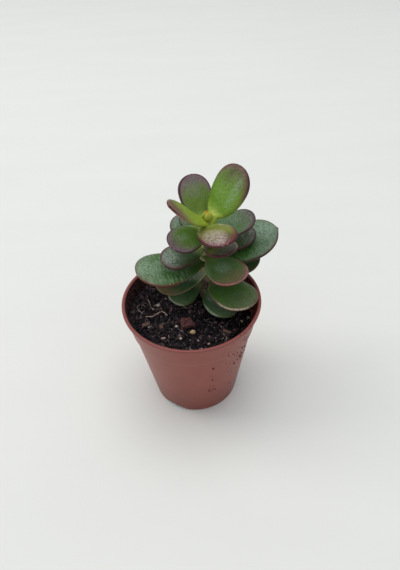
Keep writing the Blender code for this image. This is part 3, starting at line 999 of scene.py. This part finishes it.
def tumbled(verts, spot, size, rng):
    """Turns a unit lump any way up, squashes it and sets it down."""
    axis = Vector(rng.gauss(0, 1) for _ in range(3))
    turn = Matrix.Rotation(rng.uniform(0, math.tau), 3, axis)
    extent = (rng.uniform(0.8, 1.5), rng.uniform(0.5, 1), rng.uniform(0.4, 0.8))
    shape = Matrix.Diagonal(Vector(extent) * size)
    seed = Vector((rng.uniform(0, 90), rng.uniform(0, 90), rng.uniform(0, 90)))
    for vertex in verts:
        dent = 1 + 0.6 * noise.noise(vertex.co * 1.4 + seed)
        vertex.co = spot + turn @ (shape @ (vertex.co * dent))


def random_spot(rng, reach):
    """A place on the soil, evenly spread over its area."""
    heading = rng.uniform(0, math.tau)
    radius = reach * math.sqrt(rng.random())
    return radius * math.cos(heading), radius * math.sin(heading)


def crumbs_mesh(spots, rng, sizes, pale_share, brightest):
    """A few dozen loose crumbs, as a mesh."""
    bm = bmesh.new()
    tone = bm.verts.layers.float.new("tone")
    for spot in spots:
        size = rng.uniform(*sizes) * MM
        patch = smooth_step(noise.noise(spot / (3.5 * MM)), -0.25, 0.45)
        shade = min(brightest, abs(rng.gauss(0, 0.42)) * (0.2 + 0.8 * patch))
        if rng.random() < pale_share:
            shade = rng.uniform(0.5, 1) * brightest
        made = bmesh.ops.create_icosphere(bm, subdivisions=1, radius=1)["verts"]
        tumbled(made, spot, size, rng)
        for vertex in made:
            vertex[tone] = shade
    mesh = bpy.data.meshes.new("crumbs")
    bm.to_mesh(mesh)
    bm.free()
    return mesh


def bed_spots(ground, rng):
    """Places for a batch of crumbs all over the soil."""
    reach = inner_radius(ground.level) - 0.9 * MM
    places = [random_spot(rng, reach) for _ in range(CRUMB_BATCH)]
    return [Vector((x, y, ground.height(x, y) + 0.15 * MM)) for x, y in places]


def clump_spots(ground, rng, centre, spread, count):
    """Places gathered round a point on the soil."""
    spots = []
    for _ in range(count):
        x, y = (rng.gauss(middle, spread) * MM for middle in centre)
        spots.append(Vector((x, y, ground.height(x, y) + 0.2 * MM)))
    return spots


def wall_spots(rng, headings, heights, count):
    """Places on the inside of the pot's wall, thinning out upwards."""
    spots = []
    for _ in range(count):
        heading = math.radians(rng.uniform(*headings))
        height = heights[0] + (heights[1] - heights[0]) * rng.random() ** 1.6
        radius = inner_radius(height * MM) - SOIL_GAP
        spots.append(Vector((radius * math.cos(heading), radius * math.sin(heading), height * MM)))
    return spots


def make_crumbs(ground):
    """Loose crumbs of peat and bark, mostly dark, with a few pale ones."""
    rng = random.Random(7)
    bm = bmesh.new()
    for sizes, batches, brightest in CRUMB_KINDS:
        for _ in range(batches):
            spots = bed_spots(ground, rng)
            bm.from_mesh(crumbs_mesh(spots, rng, sizes, 0.12, brightest))
    for centre, spread, count in CLUMPS:
        spots = clump_spots(ground, rng, centre, spread, count)
        bm.from_mesh(crumbs_mesh(spots, rng, GATHERED_SIZES, 0.5, 0.9))
    for headings, heights, count in WALL_CRUMBS:
        spots = wall_spots(rng, headings, heights, count)
        bm.from_mesh(crumbs_mesh(spots, rng, GATHERED_SIZES, 0.1, 0.5))
    finish = soil_finish("loose_crumbs", tone="tone")
    add_piece("soil_crumbs", bm, finish, sharp_angle=12)


def make_grit():
    """Specks of dried soil on the outside of the pot."""
    rng = random.Random(3)
    places = [(heading, height, GRIT_SIZE) for heading, height in GRIT]
    for heading, across, height, up, largest, count in GRIT_PATCHES:
        for _ in range(count):
            place = (rng.gauss(heading, across), rng.gauss(height, up))
            places.append((*place, rng.uniform(0.1, largest)))
    bm = bmesh.new()
    tone = bm.verts.layers.float.new("tone")
    for heading, height, size in places:
        turn = math.radians(heading)
        radius = outer_radius(height * MM) + 0.05 * MM
        spot = Vector((radius * math.cos(turn), radius * math.sin(turn), height * MM))
        made = bmesh.ops.create_icosphere(bm, subdivisions=1, radius=1)["verts"]
        tumbled(made, spot, size * MM, rng)
        shade = rng.uniform(0.05, 0.4)
        for vertex in made:
            vertex[tone] = shade
    add_piece("pot_grit", bm, soil_finish("dried_grit", tone="tone"), sharp_angle=30)


def make_fibres(ground):
    """Thin peat fibres and rootlets that lie curled over the crumbs."""
    rng = random.Random(11)
    bm = bmesh.new()
    tone = bm.verts.layers.float.new("tone")
    for _ in range(FIBRE_COUNT):
        x, y = random_spot(rng, inner_radius(ground.level) - 4 * MM)
        heading = rng.uniform(0, math.tau)
        bend = rng.gauss(0, 0.5)
        radius = rng.uniform(0.045, 0.13) * MM
        step = rng.uniform(0.35, 0.85) * MM
        shade = rng.uniform(0.2, 1.0)
        route = []
        for _ in range(7):
            near = (ground.height(x + radius, y), ground.height(x - radius, y))
            route.append(Vector((x, y, max(near) + 0.35 * MM)))
            x += step * math.cos(heading)
            y += step * math.sin(heading)
            heading += bend + rng.gauss(0, 0.25)
        for vertex in thread(bm, route, radius, 4):
            vertex[tone] = shade
    add_piece("soil_fibres", bm, soil_finish("peat_fibres", tone="tone", pale=True))


def thread(bm, route, radius, sides):
    """A closed tube along a route, tapered at both ends. Returns its points."""
    made = bmesh.ops.create_circle(bm, cap_ends=True, segments=sides, radius=radius)["verts"]
    face = made[0].link_faces[0]
    at, facing, width = Vector(), Vector((0, 0, 1)), 1
    for index, spot in enumerate(route):
        if index:
            grown = bmesh.ops.extrude_face_region(bm, geom=[face])["geom"]
            face = next(item for item in grown if isinstance(item, bmesh.types.BMFace))
            made += face.verts
        ahead = route[min(index + 1, len(route) - 1)] - route[max(index - 1, 0)]
        turn = facing.rotation_difference(ahead)
        thin = 0.5 if index in (0, len(route) - 1) else 1
        for vertex in face.verts:
            vertex.co = spot + turn @ (vertex.co - at) * thin / width
        at, facing, width = spot, ahead, thin
    return made


def soil_finish(name, tone, pale=False):
    """Damp peat: almost black, with brown, purple-grey and a few pale grains."""
    f = Finish(name, Specular_IOR_Level=0.3)
    lumps = f.grain(1.1 * MM, 5)
    dark = f.ramp(
        lumps, (0.3, paint("#030204")), (0.47, paint("#08060a")), (0.58, paint("#2a1f25")),
        (0.72, paint("#66525a"))
    )
    if tone:
        shade = f.read(tone) + (f.grain(0.5 * MM, 3) - 0.5) * 0.25
        high = paint("#b4aa9c") if pale else paint("#dccfc4")
        own = f.ramp(
            shade, (0.05, paint("#070507")), (0.25, paint("#181115")), (0.5, paint("#564348")),
            (0.7, paint("#a89699")), (1.0, high)
        )
        dark = f.mix(0.8, dark, own)
    rusty = f.mix(1, dark, (1.12, 0.88, 0.86), "MULTIPLY")
    dark = f.mix(f.band(f.grain(5 * MM, 2), 0.45, 0.65), dark, rusty)
    relief = f.bump(f.grain(0.22 * MM, 4), 0.12 * MM)
    rough = 0.6 + f.grain(0.7 * MM, 2) * 0.35
    return f.surface(Base_Color=dark, Roughness=rough, Normal=relief)


# --- litter ------------------------------------------------------------------------------------


def roughened(node, suffix, finish, voxel, size, depth, slim=0.0, grain=(1, 1, 1)):
    """A CAD node's shape with an uneven surface. The unevenness is stretched by the grain."""
    bm = remeshed(node, voxel)
    bm.normal_update()
    shifts = []
    for vertex in bm.verts:
        spot = Vector(c * g for c, g in zip(vertex.co, grain)) / size
        shifts.append(vertex.normal * noise.turbulence(spot, 3, False) * depth)
    for vertex, shift in zip(bm.verts, shifts):
        vertex.co += shift - vertex.normal * (depth * 0.5 + slim)
    add_piece(node + suffix, bm, finish, [node])


def make_litter():
    bark = grainy("red_brown_bark", "#341a1b", "#5c3230", "#7c4e48", 0.9 * MM)
    roughened("bark_chip", "_flake", bark, 0.16 * MM, 1.2 * MM, 0.5 * MM, 0, (1, 2.2, 3))
    stone = grainy("tan_stone", "#93704c", "#c4a078", "#e4cca8", 0.5 * MM)
    roughened("pebble", "_stone", stone, 0.08 * MM, 0.8 * MM, 0.15 * MM)
    white = grainy("perlite_foam", "#9a8472", "#dac8b4", "#f4e8d8", 0.35 * MM)
    for node in (f"perlite_{number:02d}" for number in range(1, 6)):
        roughened(node, "_bead", white, 0.07 * MM, 0.9 * MM, 0.5 * MM, 0.1 * MM)
    wood = grainy("split_wood", "#38241e", "#62463a", "#967860", 0.5 * MM)
    for node in (f"wood_chip_{number:02d}" for number in range(1, 4)):
        roughened(node, "_sliver", wood, 0.1 * MM, 0.7 * MM, 0.25 * MM)
    root = grainy("dry_root", "#8a6c58", "#c2a690", "#ecdac6", 0.6 * MM)
    for node in (f"root_fibre_{number:02d}" for number in range(1, 4)):
        roughened(node, "_strand", root, 0.08 * MM, 1.4 * MM, 0.1 * MM, 0.1 * MM)


def grainy(name, dark, middle, light, size):
    """A dry, rough finish in three tones."""
    f = Finish(name)
    lumps = f.grain(size, 4)
    colour = f.ramp(lumps, (0.32, paint(dark)), (0.5, paint(middle)), (0.7, paint(light)))
    relief = f.bump(f.grain(size * 0.4, 3), size * 0.15)
    return f.surface(Base_Color=colour, Roughness=0.75 + lumps * 0.2, Normal=relief)


# --- stage -------------------------------------------------------------------------------------


def make_floor():
    bm = bmesh.new()
    bmesh.ops.create_grid(bm, x_segments=1, y_segments=1, size=3)
    bmesh.ops.translate(bm, vec=(0, 0, -0.02 * MM), verts=bm.verts)
    floor = scratch_object("floor", bm)
    f = Finish("pale_board")
    cloud = f.grain(30 * MM, 4, f.stretched(0.25, 1, 1))
    colour = f.mix(cloud, paint("#e3e2dc"), paint("#e9e8e2"))
    f.surface(Base_Color=colour, Roughness=0.62 + cloud * 0.1)
    floor.data.materials.append(f.material)


def area_light(name, place, aim, size, power, colour):
    data = bpy.data.lights.new(name, "AREA")
    data.shape = "DISK"
    data.size = size
    data.energy = power
    data.color = colour
    lamp = bpy.data.objects.new(name, data)
    lamp.location = place
    lamp.rotation_euler = (Vector(aim) - Vector(place)).to_track_quat("-Z", "Y").to_euler()
    bpy.context.scene.collection.objects.link(lamp)


def make_lights():
    world = bpy.data.worlds.new("soft_daylight")
    world.use_nodes = True
    background = world.node_tree.nodes["Background"]
    background.inputs["Color"].default_value = (0.9, 0.95, 1, 1)
    background.inputs["Strength"].default_value = 0.64
    bpy.context.scene.world = world
    area_light("window", (-1.3, 0.35, 1.35), (0, 0, 0.05), 1.1, 8.9, (1, 0.99, 0.98))
    area_light("ceiling", (0.0, 0.2, 1.3), (0, 0, 0.05), 1.1, 5.5, (1, 1, 1))


def make_camera():
    data = bpy.data.cameras.new("camera")
    data.lens = CAMERA_LENS
    data.sensor_width = 36
    data.clip_start = 0.01
    camera = bpy.data.objects.new("camera", data)
    bpy.context.scene.collection.objects.link(camera)
    tilt = Matrix.Rotation(math.pi / 2 - CAMERA_PITCH, 4, "X")
    turn = tilt @ Matrix.Rotation(CAMERA_ROLL, 4, "Z")
    camera.matrix_world = Matrix.Translation(CAMERA_PLACE) @ turn
    bpy.context.scene.camera = camera


def main():
    make_camera()
    make_pot()
    stations = [make_leaf(node, look) for node, look in LOOKS.items()]
    make_stem(stations)
    make_bud()
    ground = Ground()
    make_soil(ground)
    make_crumbs(ground)
    make_grit()
    make_fibres(ground)
    make_litter()
    make_floor()
    make_lights()
    bpy.context.scene.view_settings.view_transform = "Standard"


main()
